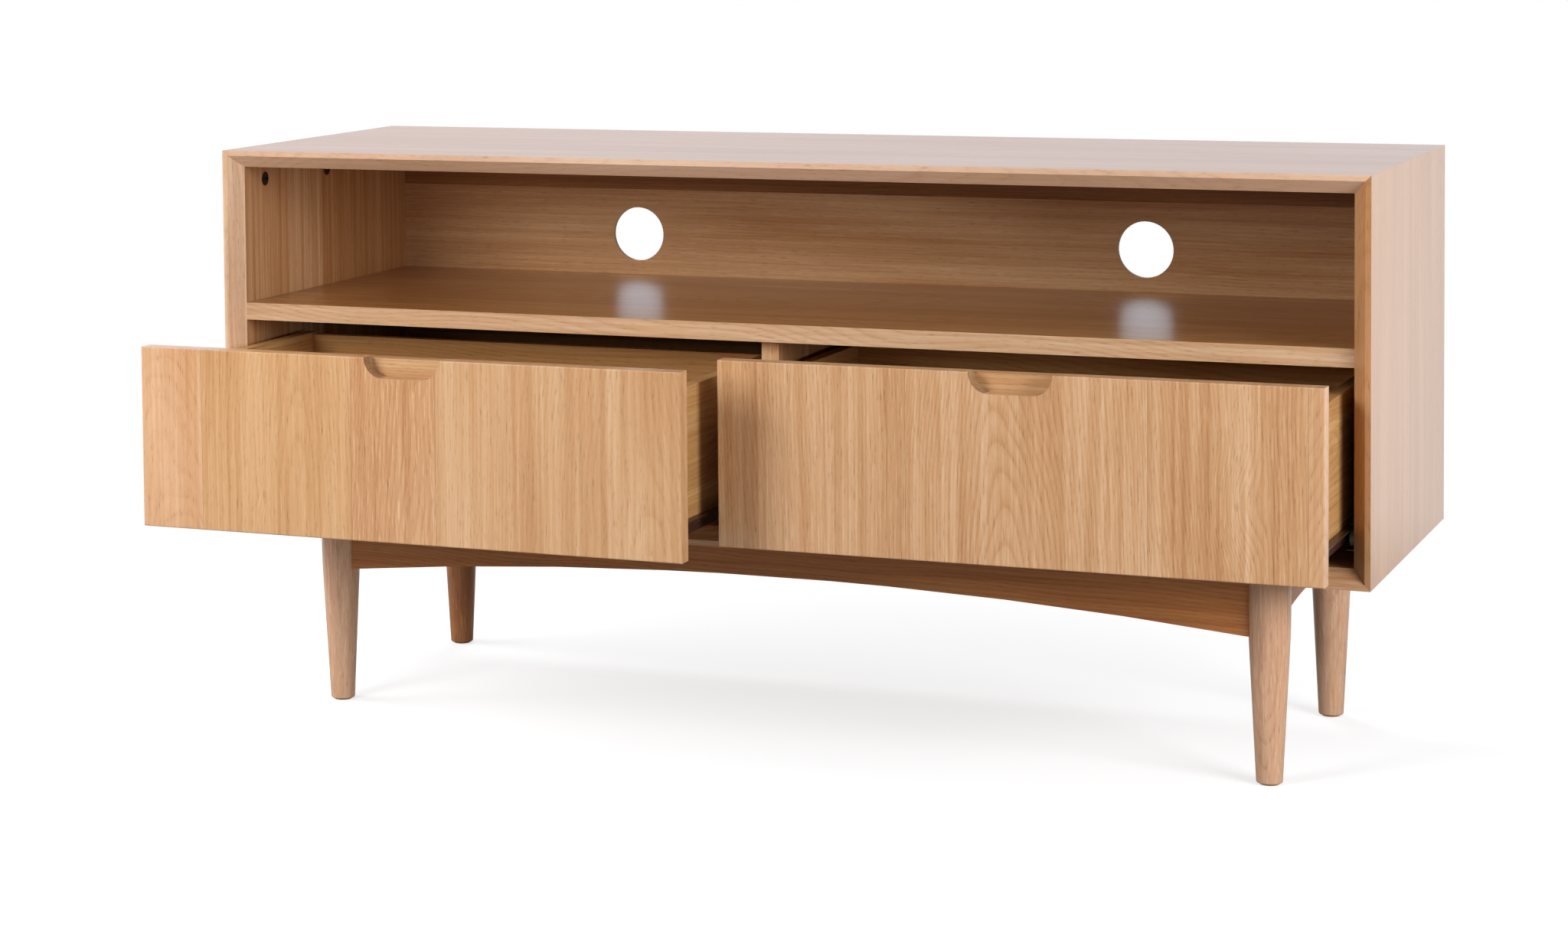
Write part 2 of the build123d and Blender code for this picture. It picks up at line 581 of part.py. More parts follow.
def box_dowels(centre_x, fit=0.0):
    """Blind dowels from the box sides into the ends of the box front and back."""
    tip = BOX_HALF - BOX_DOWEL_COVER
    heel = tip - BOX_DOWEL_LENGTH
    ys = (FRONT_BACK_Y + BOX_FRONT_BOARD / 2, BOX_END_Y - BOX_BOARD / 2)
    zs = (BOX_BOTTOM_Z + BOX_DOWEL_INSET, BOX_BACK_TOP_Z - BOX_DOWEL_INSET)
    dowels = []
    for s in (-1, 1):
        for y in ys:
            for z in zs:
                ends = ((centre_x + s * heel, y, z), (centre_x + s * tip, y, z))
                dowels.append(rod(*ends, BOX_DOWEL_RADIUS, fit))
    return dowels


def front_screws(centre_x, fit=0.0):
    """Screws from inside the box through the box front into the drawer front."""
    reach = BOX_INNER_HALF - FRONT_SCREW_INSET_X
    zs = (BOX_BOTTOM_Z + BOX_BOTTOM + FRONT_SCREW_INSET_Z, BOX_FRONT_TOP_Z - FRONT_SCREW_INSET_Z)
    depth = BOX_FRONT_BOARD + FRONT_SCREW_DEPTH
    size = (depth, BRACE_SCREW_RADIUS, BRACE_SCREW_HEAD_RADIUS)
    points = [(centre_x + s * reach, BOX_INNER_Y, z) for s in (-1, 1) for z in zs]
    return [pan_screw(point, (0, 1, 0), *size, fit) for point in points]


def make_drawer(name, bay, opening):
    """One drawer: front, box, runners, rear rollers, screws and dowels, in its open place."""
    centre = bay * BAY_CENTRE_X
    grooves = box_bottom(centre, 0.0)
    dowel_holes = box_dowels(centre, FIT)
    screw_holes = front_screws(centre, FIT)
    inner = (centre - BOX_INNER_HALF, centre + BOX_INNER_HALF)
    box_front = block(inner, (FRONT_BACK_Y, BOX_INNER_Y), (BOX_Z, BOX_FRONT_TOP_Z))
    box_back = block(inner, (BOX_BACK_Y, BOX_END_Y), (BOX_Z, BOX_BACK_TOP_Z))
    pieces = {
        "front": drawer_front(bay * FRONT_CENTRE_X) - screw_holes,
        "box_front": box_front - grooves - dowel_holes - screw_holes,
        "box_back": box_back - grooves - dowel_holes,
        "bottom": box_bottom(centre, GROOVE_CLEARANCE),
        "dowels": Part() + box_dowels(centre),
    }
    screws = front_screws(centre)
    for drawer, side, wall, way in bay_walls():
        if drawer != name:
            continue
        span = (wall + way * SIDE_GAP, wall + way * (SIDE_GAP + BOX_BOARD))
        board = block(span, (FRONT_BACK_Y, BOX_END_Y), (BOX_Z, BOX_SIDE_TOP_Z))
        pieces[f"{side}_side"] = board - grooves - dowel_holes - runner_screws(wall, way, FIT)
        pieces[f"runner_{side}"] = drawer_runner(wall, way)
        face = wall + way * (SIDE_GAP - STEEL)
        pieces[f"roller_{side}"] = roller(face, -way, REAR_ROLLER_Y, REAR_ROLLER_Z)
        screws += runner_screws(wall, way)
    pieces["screws"] = Part() + screws
    for piece, shape in pieces.items():
        save(f"{name}_drawer_{piece}", Pos(0, -opening, 0) * shape)


make_carcass()
make_base()
make_cabinet_runners()
for drawer_name, (bay_side, drawer_opening) in DRAWERS.items():
    make_drawer(drawer_name, bay_side, drawer_opening)
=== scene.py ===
# %% [markdown]
# # A low oak media cabinet
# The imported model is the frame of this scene: each of its nodes is a real board, leg, runner or
# screw at its real size. So Blender doesn't move or resize anything. It eases the sharp edges of
# the boards, as a joiner does with sandpaper, gives each piece the surface that a finished
# cabinet has, and puts it in a plain pale studio.

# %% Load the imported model
import json
import random
from collections import namedtuple
from math import cos, pi, radians, sin

import bpy
from mathutils import Matrix, Vector


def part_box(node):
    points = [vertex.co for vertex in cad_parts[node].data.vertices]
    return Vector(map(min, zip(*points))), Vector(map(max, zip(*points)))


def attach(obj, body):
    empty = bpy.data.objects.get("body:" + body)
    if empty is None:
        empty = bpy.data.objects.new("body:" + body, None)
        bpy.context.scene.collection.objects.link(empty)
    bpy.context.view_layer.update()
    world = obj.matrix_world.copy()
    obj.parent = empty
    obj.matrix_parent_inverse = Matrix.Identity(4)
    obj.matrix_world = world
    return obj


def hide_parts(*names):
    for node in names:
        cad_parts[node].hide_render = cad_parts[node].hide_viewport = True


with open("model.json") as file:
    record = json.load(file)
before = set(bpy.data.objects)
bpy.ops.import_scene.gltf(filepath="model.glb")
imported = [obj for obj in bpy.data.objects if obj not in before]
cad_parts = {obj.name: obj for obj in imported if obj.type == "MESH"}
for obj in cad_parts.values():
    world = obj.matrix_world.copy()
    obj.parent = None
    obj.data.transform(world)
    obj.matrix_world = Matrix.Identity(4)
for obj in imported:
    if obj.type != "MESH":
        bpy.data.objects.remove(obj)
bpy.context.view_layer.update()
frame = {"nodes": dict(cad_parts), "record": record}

MM = 0.001
nodes = frame["nodes"]
record = frame["record"]
body_of = {node: body for body, names in record["behaviour"]["bodies"].items() for node in names}
front_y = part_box("left_side_panel")[0].y
back_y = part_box("left_side_panel")[1].y

# %% [markdown]
# ## The camera
# A long lens from the right, a little above the cabinet's top, keeps the upright edges almost
# parallel. Tilting the camera down would make them lean, so the lens is shifted instead, as a
# view camera's is.

# %% The camera
CAMERA_DISTANCE = 3.1689  # in front of the carcass
CAMERA_RIGHT = 1.1894
CAMERA_HEIGHT = 0.849
CAMERA_TURN = radians(23.522)
CAMERA_TILT = radians(-3.339)
CAMERA_ROLL = radians(-0.632)
LENS = 79.10  # mm, on a sensor 36 mm wide
SHIFT_X = 0.1310
SHIFT_Y = -0.2390

camera_data = bpy.data.cameras.new("camera")
camera_data.lens = LENS
camera_data.sensor_width = 36.0
camera_data.shift_x = SHIFT_X
camera_data.shift_y = SHIFT_Y
camera = bpy.data.objects.new("camera", camera_data)
bpy.context.scene.collection.objects.link(camera)
aim = Matrix.Rotation(CAMERA_TURN, 4, "Z") @ Matrix.Rotation(pi / 2 + CAMERA_TILT, 4, "X")
aim = aim @ Matrix.Rotation(CAMERA_ROLL, 4, "Z")
camera_place = (CAMERA_RIGHT, front_y - CAMERA_DISTANCE, CAMERA_HEIGHT)
camera.matrix_world = Matrix.Translation(camera_place) @ aim
bpy.context.scene.camera = camera
bpy.context.scene.view_settings.view_transform = "Standard"
print("camera", [round(value, 4) for value in camera_place])

# %% [markdown]
# ## Colours
# A finisher names a colour as it looks, here by its hex code, and a shader works in linear
# light. So one function turns the one into the other.

# %% Colours
def linear(hex_colour):
    """An sRGB hex colour as linear RGBA."""
    channels = [int(hex_colour[i : i + 2], 16) / 255 for i in (0, 2, 4)]
    curve = [c / 12.92 if c <= 0.04045 else ((c + 0.055) / 1.055) ** 2.4 for c in channels]
    return (*curve, 1.0)


print("lacquered oak", linear("C7996E"))

# %% [markdown]
# ## Nodes
# A finish is a tree of nodes. One function adds a node of any kind: it sets what is to be set and
# links what feeds it, so that a step of the finish reads as one line.

# %% Nodes
MATHS = "ShaderNodeMath"
VECTOR_MATHS = "ShaderNodeVectorMath"


def add_node(tree, kind, settings=None, *values, **inputs):
    """Adds a node. Settings are a dictionary, or the name of a maths node's operation.

    Inputs are given in order, or by name with _ for a space. Each is a number, a colour, a
    socket, or a node, which then gives its first output.
    """
    node = tree.nodes.new(kind)
    if isinstance(settings, str):
        settings = {"operation": settings}
    for name, value in (settings or {}).items():
        setattr(node, name, value)
    sockets = {socket.identifier: socket for socket in node.inputs}
    fed = [(node.inputs[place], value) for place, value in enumerate(values)]
    for name, value in inputs.items():
        spaced = name.replace("_", " ")
        fed.append((sockets[name] if name in sockets else node.inputs[spaced], value))
    for socket, value in fed:
        source = value.outputs[0] if isinstance(value, bpy.types.Node) else value
        if isinstance(source, bpy.types.NodeSocket):
            tree.links.new(source, socket)
        else:
            socket.default_value = source
    return node


def new_material(name):
    """An empty material and its node tree."""
    material = bpy.data.materials.new(name)
    material.use_nodes = True
    material.node_tree.nodes.clear()
    return material, material.node_tree


print("maths nodes", MATHS, VECTOR_MATHS)

# %% [markdown]
# ## The studio floor
# A roll of pale paper runs under and behind the cabinet. The camera and the
# reflections see it nearly white, with the cabinet's shadow on it, and the cabinet gets only
# plain bounced light from it. Away from the cabinet it fades to clean white.

# %% The studio floor
FLOOR_SIZE = 60.0
FLOOR_BOUNCE = linear("9A9A9A")
FLOOR_SHADE = linear("B4B5B7")
FLOOR_GLOW = 0.675
WHITE = linear("FFFFFF")
SMOOTH = {"interpolation_type": "SMOOTHSTEP"}

bpy.ops.object.select_all(action="DESELECT")
bpy.ops.mesh.primitive_plane_add(size=FLOOR_SIZE, location=(0, 0, 0))
floor = bpy.context.object
floor.name = "studio_floor"
floor_paint, tree = new_material("studio_floor_paint")
seen = add_node(tree, "ShaderNodeLightPath").outputs
shade = add_node(tree, "ShaderNodeBsdfDiffuse", Color=FLOOR_SHADE)
glow = add_node(tree, "ShaderNodeEmission", Color=WHITE, Strength=FLOOR_GLOW)
shaded = add_node(tree, "ShaderNodeAddShader", None, shade, glow)
white = add_node(tree, "ShaderNodeEmission", Color=WHITE, Strength=1.0)
place = add_node(tree, "ShaderNodeTexCoord").outputs["Object"]
radius = add_node(tree, VECTOR_MATHS, "LENGTH", place).outputs["Value"]
far = add_node(tree, "ShaderNodeMapRange", SMOOTH, Value=radius, From_Min=0.85, From_Max=1.4)
shown = add_node(tree, "ShaderNodeMixShader", None, far, shaded, white)
plain = add_node(tree, "ShaderNodeBsdfDiffuse", Color=FLOOR_BOUNCE)
depth = add_node(tree, "ShaderNodeSeparateXYZ", Vector=place).outputs["Y"]
behind = add_node(tree, "ShaderNodeMapRange", Value=depth, From_Min=0.4, From_Max=1.4)
mirrored = add_node(tree, MATHS, "MULTIPLY", seen["Is Glossy Ray"], behind)
is_seen = add_node(tree, MATHS, "MAXIMUM", seen["Is Camera Ray"], mirrored)
paint = add_node(tree, "ShaderNodeMixShader", None, is_seen, plain, shown)
add_node(tree, "ShaderNodeOutputMaterial", Surface=paint)
floor.data.materials.append(floor_paint)
print("floor", floor.dimensions[:])

# %% [markdown]
# ## The sky
# A large pale room lights the cabinet evenly from all round. In the lacquer it shows as a cool
# glare on the faces that are seen at a slant, because the far wall of such a room is bright. So
# mirror rays get a bluish sky that is bright behind the cabinet and dim in front of it.

# %% The sky
SKY_LEVEL = 0.33
MIRROR_SKY = (0.84, 0.87, 0.94, 1)

world = bpy.data.worlds.new("studio_sky")
bpy.context.scene.world = world
world.use_nodes = True
tree = world.node_tree
tree.nodes.clear()
seen = add_node(tree, "ShaderNodeLightPath").outputs
direction = add_node(tree, "ShaderNodeTexCoord").outputs["Generated"]
depth = add_node(tree, "ShaderNodeSeparateXYZ", Vector=direction).outputs["Y"]
behind = add_node(tree, "ShaderNodeMapRange", Value=depth, From_Min=-0.4, From_Max=0.3, To_Min=0.25)
cool = add_node(tree, "ShaderNodeBackground", Color=MIRROR_SKY, Strength=behind)
even = add_node(tree, "ShaderNodeBackground", Color=WHITE, Strength=SKY_LEVEL)
white = add_node(tree, "ShaderNodeBackground", Color=WHITE, Strength=1.0)
sky = add_node(tree, "ShaderNodeMixShader", None, seen["Is Glossy Ray"], even, cool)
sky = add_node(tree, "ShaderNodeMixShader", None, seen["Is Camera Ray"], sky, white)
add_node(tree, "ShaderNodeOutputWorld", Surface=sky)
print("sky", SKY_LEVEL)

# %% [markdown]
# ## The soft boxes
# The even sky alone would leave the cabinet flat. A soft box at each side models the legs and
# the inside of the compartment, one near the front lights the drawer fronts, and one above and
# behind puts the shadow under the cabinet. They stay out of mirror rays, where they would show
# as hot spots in the lacquer.

# %% The soft boxes
TARGET = Vector((0, 0.1, 0.35))


def soft_box(name, watts, azimuth, distance, height, width, tall):
    """A soft box that looks at the cabinet; its azimuth is counted from the front to the right."""
    data = bpy.data.lights.new(name, "AREA")
    data.shape = "RECTANGLE"
    data.size = width
    data.size_y = tall
    data.energy = watts
    turn = radians(azimuth)
    lamp = bpy.data.objects.new(name, data)
    lamp.location = (TARGET.x + sin(turn) * distance, TARGET.y - cos(turn) * distance, height)
    lamp.rotation_euler = (TARGET - lamp.location).to_track_quat("-Z", "Y").to_euler()
    lamp.visible_camera = False
    lamp.visible_glossy = False
    bpy.context.scene.collection.objects.link(lamp)
    return lamp


lamps = [
    soft_box("left_box", 28, -80, 2.2, 1.0, 1.4, 1.1),
    soft_box("right_box", 33, 65, 2.2, 0.8, 1.0, 0.9),
    soft_box("front_box", 31, -27, 2.2, 1.1, 0.8, 0.9),
    soft_box("top_box", 15, -155, 1.5, 2.3, 0.7, 0.5),
]
print("lamps", [lamp.name for lamp in lamps])

# %% [markdown]
# ## Easing the boards
# No board leaves a workshop with knife-sharp edges: they are sanded until they catch the light
# as a fine bright line, and two eased edges that meet in a mitre leave a fine groove. The model's
# own mesh stays as it is. A copy is merged, its flat faces are joined again, and a bevel rounds
# each sharp edge. Weighted normals then keep the broad faces flat beside the rounded edges.

# %% A helper that eases a board
EASED = {}
SHARP = radians(30)  # the front edge's slope stays crisp too
SMOOTH_UNDER = radians(32)
EASE_SEGMENTS = 2


def ease(node, width):
    """A copy of a model piece with its sharp edges rounded, which is then shown in its place."""
    bpy.ops.object.select_all(action="DESELECT")
    piece = bpy.data.objects.new(f"{node}_eased", nodes[node].data.copy())
    bpy.context.scene.collection.objects.link(piece)
    piece.select_set(True)
    bpy.context.view_layer.objects.active = piece
    bpy.ops.mesh.customdata_custom_splitnormals_clear()
    bpy.ops.object.mode_set(mode="EDIT")
    bpy.ops.mesh.select_all(action="SELECT")
    bpy.ops.mesh.remove_doubles(threshold=0.01 * MM)
    bpy.ops.mesh.dissolve_limited(angle_limit=radians(1))
    bpy.ops.object.mode_set(mode="OBJECT")
    bevel = piece.modifiers.new("eased_edges", "BEVEL")
    bevel.width = width
    bevel.segments = EASE_SEGMENTS
    bevel.limit_method = "ANGLE"
    bevel.angle_limit = SHARP
    bpy.ops.object.modifier_apply(modifier=bevel.name)
    bpy.ops.object.shade_smooth_by_angle(angle=SMOOTH_UNDER)
    flatten = piece.modifiers.new("flat_faces", "WEIGHTED_NORMAL")
    flatten.keep_sharp = True
    bpy.ops.object.modifier_apply(modifier=flatten.name)
    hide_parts(node)
    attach(piece, body_of[node])
    EASED[node] = piece
    return piece


print("edges over", SHARP, "radians are eased")

# %% [markdown]
# ## How much each board is eased
# Veneered boards are eased least, because sandpaper would cut through the thin veneer. Solid
# edges, aprons and fronts, which hands touch, are eased more.

# %% Ease the boards
VENEERED = 0.6 * MM
LIPPED = 0.7 * MM
BOX_BOARD = 0.8 * MM
HANDLED = 1.0 * MM

for node in ("top_panel", "bottom_panel", "left_side_panel", "right_side_panel"):
    ease(node, VENEERED)
for node in ("shelf", "centre_divider"):
    ease(node, LIPPED)
for node in [name for name in nodes if name.endswith("_apron")]:
    ease(node, HANDLED)
for side in ("left", "right"):
    ease(f"{side}_drawer_front", HANDLED)
    for board in ("box_front", "box_back", "left_side", "right_side"):
        ease(f"{side}_drawer_{board}", BOX_BOARD)
print("eased", len(EASED), "faces", sum(len(piece.data.polygons) for piece in EASED.values()))

# %% [markdown]
# ## Oak veneer and its leaves
# The boards are veneered in oak: thin leaves sliced from a log and laid side by side. A leaf cut
# near the log's heart shows nested arches, and one cut far from it shows straight lines. Both are
# the same thing: the yearly rings are cones about the heart, and the leaf is a flat cut through
# them. A ready-made pattern would put the same arch on each board. So each leaf here has the
# place of its own heart and its depth under it, and the rings follow from these.

# %% Leaves of veneer
AXES = {"x": Vector((1, 0, 0)), "y": Vector((0, 1, 0)), "z": Vector((0, 0, 1))}
# start and heart are places across the grain and depth is how far the cut passes from the heart,
# all in metres; tone, blush, figure and fleck are strengths
Leaf = namedtuple("Leaf", "start heart depth tone blush figure fleck")


def sliced(low, high, width, seed, vary=0.5):
    """Leaves of about this width from low to high, as they come off the log."""
    dice = random.Random(seed)
    leaves = []
    start = low
    while start < high - width * 0.3:
        heart = start + width * dice.uniform(-0.6, 1.6)
        depth = dice.uniform(0.03, 0.12)
        tone = dice.uniform(-vary, vary)
        blush = dice.uniform(-0.5, 0.5)
        figure = dice.uniform(0.6, 1.0)
        leaves.append(Leaf(start, heart, depth, tone, blush, figure, dice.uniform(0.1, 0.6)))
        start += width * dice.uniform(0.8, 1.15)
    return leaves


print("a top's leaves", len(sliced(front_y, back_y, 0.13, 3, 0.15)))

# %% [markdown]
# ## Which leaf is here
# A board shows several leaves, and each has its own heart, depth, tone and so on. Rather than one
# material for each leaf, the values are added up as the place passes each joint: at a joint, what
# differs between the two leaves is added.

# %% The values of the leaf at a place
def leaf_here(tree, width, leaves):
    """Sockets with the values of the leaf at this width, in a Leaf."""
    sockets = [None]
    for first in (1, 4):
        value = leaves[0][first : first + 3]
        for before, leaf in zip(leaves, leaves[1:]):
            past = add_node(tree, MATHS, "GREATER_THAN", width, leaf.start)
            change = [b - a for a, b in zip(before[first : first + 3], leaf[first : first + 3])]
            value = add_node(tree, VECTOR_MATHS, "MULTIPLY_ADD", past, change, value)
        sockets += add_node(tree, "ShaderNodeSeparateXYZ", Vector=value).outputs[:]
    return Leaf(*sockets)


print("values of a leaf", Leaf._fields[1:])

# %% [markdown]
# ## Noise along the grain
# Everything in wood is long along the trunk and thin across it: streaks, clouds, pale flecks and
# pores. So one kind of noise is squeezed across the grain, by the real length and width of what
# it stands for.

# %% Noise along the grain
def along_grain(tree, place, length, width, detail=1.0, rough=0.5):
    """Noise whose grains are this long and this wide, in metres."""
    size = (1 / length, 1 / width, 1 / width)
    scaled = add_node(tree, "ShaderNodeMapping", Vector=place, Scale=size)
    noise = {"Scale": 1.0, "Detail": detail, "Roughness": rough}
    return add_node(tree, "ShaderNodeTexNoise", Vector=scaled, **noise).outputs["Fac"]


STREAK = (0.40, 6.5 * MM, 4.0, 0.62)
CLOUD = (0.35, 50 * MM)
FLECK = (0.030, 1.8 * MM)  # real ones are under 1 mm wide, too fine to show
PORE = (0.012, 0.9 * MM)  # real ones are about 0.3 mm wide, too fine to show
print("streaks", STREAK, "pores", PORE)

# %% [markdown]
# ## Yearly rings
# A ring is a spring layer full of pores and a denser summer layer. How many rings lie between a
# place and the heart is its distance from the heart divided by the width of a ring. The trunk
# wanders and tapers a little, so the distance does too. In a turned leg the cut is solid, and the
# distance also changes with the depth into the wood.

# %% Yearly rings
RING = 3.4 * MM


def rings_to_heart(tree, here, spot, leaf, middle, taper, solid):
    """How many rings lie between the heart and this spot; here is the spot's place in the log."""
    length, width, thick = spot
    wander = along_grain(tree, here, 0.22, 0.04, 2.0)
    wander = add_node(tree, MATHS, "MULTIPLY_ADD", wander, 0.014, -0.007)
    aside = add_node(tree, MATHS, "SUBTRACT", width, leaf.heart)
    aside = add_node(tree, MATHS, "ADD", aside, wander)
    drift = along_grain(tree, here, 0.30, 0.10)
    drift = add_node(tree, MATHS, "MULTIPLY_ADD", drift, 0.05, -0.025)
    run = add_node(tree, MATHS, "SUBTRACT", length, middle)
    run = add_node(tree, MATHS, "MULTIPLY_ADD", run, taper, leaf.depth)
    run = add_node(tree, MATHS, "ADD", run, drift)
    run = add_node(tree, MATHS, "MULTIPLY_ADD", thick, solid, run)
    across = add_node(tree, "ShaderNodeCombineXYZ", X=aside, Y=run)
    distance = add_node(tree, VECTOR_MATHS, "LENGTH", across).outputs["Value"]
    return add_node(tree, MATHS, "DIVIDE", distance, RING)


print("ring", RING)

# %% [markdown]
# ## Knots
# A small branch leaves a pin knot: the rings swell round it and a dark spot marks its pith. The
# ring count is raised near it, which bends the lines, and the spot is kept for the shading.

# %% Knots
KNOT_SWELL = 130  # rings added at the middle, for each metre of the knot's reach
PITH = 0.8  # how pale the dark spot still is
PITH_RADII = (0.8 * MM, 3.0 * MM)


def knotted(tree, spot, years, knots):
    """The ring count with the knots in it, and a shade for each knot's pith."""
    piths = []
    for knot_length, knot_width, reach in knots:
        along = add_node(tree, MATHS, "SUBTRACT", spot[0], knot_length)
        along = add_node(tree, MATHS, "MULTIPLY", along, 0.5)
        aside = add_node(tree, MATHS, "SUBTRACT", spot[1], knot_width)
        offset = add_node(tree, "ShaderNodeCombineXYZ", X=along, Y=aside)
        away = add_node(tree, VECTOR_MATHS, "LENGTH", offset).outputs["Value"]
        falling = {"From_Max": reach, "To_Min": 1.0, "To_Max": 0.0}
        near = add_node(tree, "ShaderNodeMapRange", SMOOTH, Value=away, **falling)
        years = add_node(tree, MATHS, "MULTIPLY_ADD", near, reach * KNOT_SWELL, years)
        rising = {"From_Min": PITH_RADII[0], "From_Max": PITH_RADII[1], "To_Min": PITH}
        piths.append(add_node(tree, "ShaderNodeMapRange", SMOOTH, Value=away, **rising))
    return years, piths


print("pith radii", PITH_RADII)

# %% [markdown]
# ## Light and dark through a year
# Spring wood is dark with pores and starts sharply, and summer wood is paler and ends it. A ramp
# over the part of the year gives that rhythm, as a value and not yet as a colour.

# %% The band of a year
YEAR = ((0.10, 0.12), (0.32, 0.55), (0.72, 0.82))  # part of the year, paleness
SPRING_START = 0.30
SUMMER_END = 0.62


def year_band(tree, years):
    """How pale the wood is in its part of the year."""
    part = add_node(tree, MATHS, "FRACT", years)
    band = add_node(tree, "ShaderNodeValToRGB", Fac=part)
    ramp = band.color_ramp.elements
    ramp[0].color = (SPRING_START, SPRING_START, SPRING_START, 1)
    ramp[1].color = (SUMMER_END, SUMMER_END, SUMMER_END, 1)
    for position, paleness in YEAR:
        ramp.new(position).color = (paleness, paleness, paleness, 1)
    return band


print("year", YEAR)

# %% [markdown]
# ## The wood's value
# Four things lighten or darken oak: its bands, broad streaks, soft clouds, and the pale flecks
# of its rays, with the tone of the whole leaf. They are summed as one value round 0.5, which the
# colours then follow, so that a darker place is also a redder one, as in real wood.

# %% The wood's value
def wood_value(tree, here, band, leaf, contrast, streaks):
    """Dark to pale, about 0 to 1."""
    figure = add_node(tree, MATHS, "MULTIPLY", leaf.figure, contrast)
    value = add_node(tree, MATHS, "SUBTRACT", band, 0.55)
    value = add_node(tree, MATHS, "MULTIPLY", value, figure)
    streak = add_node(tree, MATHS, "SUBTRACT", along_grain(tree, here, *STREAK), 0.5)
    streak = add_node(tree, MATHS, "MULTIPLY_ADD", streak, streaks, 0.5)
    value = add_node(tree, MATHS, "ADD", value, streak)
    cloud = add_node(tree, MATHS, "MULTIPLY_ADD", along_grain(tree, here, *CLOUD), 0.5, -0.25)
    value = add_node(tree, MATHS, "ADD", value, cloud)
    value = add_node(tree, MATHS, "MULTIPLY_ADD", leaf.tone, 0.22, value)
    ray = along_grain(tree, here, *FLECK)
    pale = add_node(tree, "ShaderNodeMapRange", Value=ray, From_Min=0.58, From_Max=0.66)
    fleck = add_node(tree, MATHS, "MULTIPLY", leaf.fleck, 0.24)
    fleck = add_node(tree, MATHS, "MULTIPLY", pale, fleck)
    return add_node(tree, MATHS, "ADD", value, fleck)


print("the value joins band, streak, cloud, tone and fleck")

# %% [markdown]
# ## The wood's colour
# Three colours are enough for lacquered oak: its dark lines, its ground and its pale summer wood.
# A rosy or a golden film then tells one leaf from the next. A lipping, the strip of solid wood
# that is glued along a board's front edge, has colours of its own; the pale one on the top and the
# left side is also lightened as a painted highlight on their front edges.

# %% The wood's colour
ROSY = linear("FFF0EC")
GOLDEN = linear("FBF6DC")
FACING_FRONT = -0.35
COLOUR_MIX = {"data_type": "RGBA"}
FILM = {"data_type": "RGBA", "blend_type": "MULTIPLY"}


def wood_colour(tree, value, colours):
    """The dark, the mid and the pale colour at 0.1, 0.5 and 0.9."""
    colour = add_node(tree, "ShaderNodeValToRGB", Fac=value)
    ramp = colour.color_ramp.elements
    ramp[0].position = 0.10
    ramp[0].color = linear(colours[0])
    ramp[1].position = 0.90
    ramp[1].color = linear(colours[2])
    ramp.new(0.5).color = linear(colours[1])
    return colour


def tinted_colour(tree, value, normal, leaf, colours, lipping):
    """The colour of the wood with its lipping and with the leaf's rosy or golden film."""
    colour = wood_colour(tree, value, colours)
    if lipping:
        front = add_node(tree, MATHS, "LESS_THAN", normal["Y"], FACING_FRONT)
        edge = wood_colour(tree, value, lipping)
        mix = add_node(
            tree, "ShaderNodeMix", COLOUR_MIX, Factor=front, A_Color=colour, B_Color=edge
        )
        colour = mix.outputs[2]
    rosy = add_node(tree, MATHS, "MAXIMUM", leaf.blush, 0.0)
    golden = add_node(tree, MATHS, "MULTIPLY", leaf.blush, -1.0)
    golden = add_node(tree, MATHS, "MAXIMUM", golden, 0.0)
    for amount, film in ((rosy, ROSY), (golden, GOLDEN)):
        mix = add_node(tree, "ShaderNodeMix", FILM, Factor=amount, A_Color=colour, B_Color=film)
        colour = mix.outputs[2]
    return colour


print("films", ROSY[:3], GOLDEN[:3])

# %% [markdown]
# ## Pores
# Oak is open grained: the big vessels of spring wood show as short dark dashes, and the lacquer
# sinks into them. They darken the colour and also give the surface its relief.

# %% Pores
def open_pores(tree, here, band):
    """How deep the pores are here, most of all in the dark spring wood."""
    vessel = along_grain(tree, here, *PORE)
    pits = add_node(tree, "ShaderNodeMapRange", Value=vessel, From_Min=0.40, From_Max=0.30)
    spring = add_node(tree, MATHS, "SUBTRACT", 1.0, band)
    spring = add_node(tree, MATHS, "MULTIPLY_ADD", spring, 0.5, 0.15)
    return add_node(tree, MATHS, "MULTIPLY", pits, spring)


print("pores", PORE)

# %% [markdown]
# ## Cut walls
# Where a cutter went through a board, as at a finger pull or a cable hole, its wall shows end
# grain. That wall is drawn darker than the faces round it, and it stays dull, without the lacquer's
# glare.

# %% Cut walls
WALL_FACING = 0.35
UPRIGHT = 0.98
WALL_DARKER = -0.42


def cut_wall(tree, place, normal, middle, reach):
    """One on the walls of a cut within this reach of the middle in x, and zero elsewhere."""
    aside = add_node(tree, MATHS, "SUBTRACT", place["X"], middle)
    aside = add_node(tree, MATHS, "ABSOLUTE", aside)
    inside = add_node(tree, MATHS, "LESS_THAN", aside, reach)
    facing = add_node(tree, MATHS, "ABSOLUTE", normal["Y"])
    wall = add_node(tree, MATHS, "LESS_THAN", facing, WALL_FACING)
    wall = add_node(tree, MATHS, "MULTIPLY", inside, wall)
    below_top = add_node(tree, MATHS, "LESS_THAN", normal["Z"], UPRIGHT)
    return add_node(tree, MATHS, "MULTIPLY", wall, below_top)


print("walls face sideways within", WALL_FACING)

# %% [markdown]
# ## Lacquered oak
# The whole finish: the figure of the wood, fine dark joints between the leaves, and over it a
# clear satin lacquer. The lacquer gives the eye the broad soft glare on the top and the sides,
# and the wood under it is nearly dull, because the lacquer has filled its surface.

# %% Lacquered oak
SATIN = 0.42
LACQUER = 1.0
LACQUER_ROUGH = 0.25
LOG_STEP = 11.0  # no two leaves share their noise: each lies at its own place along the log
PORE_DARK = 0.55
JOINT = 0.35 * MM
JOINT_DARK = -0.3
PORE_DEPTH = 0.15 * MM


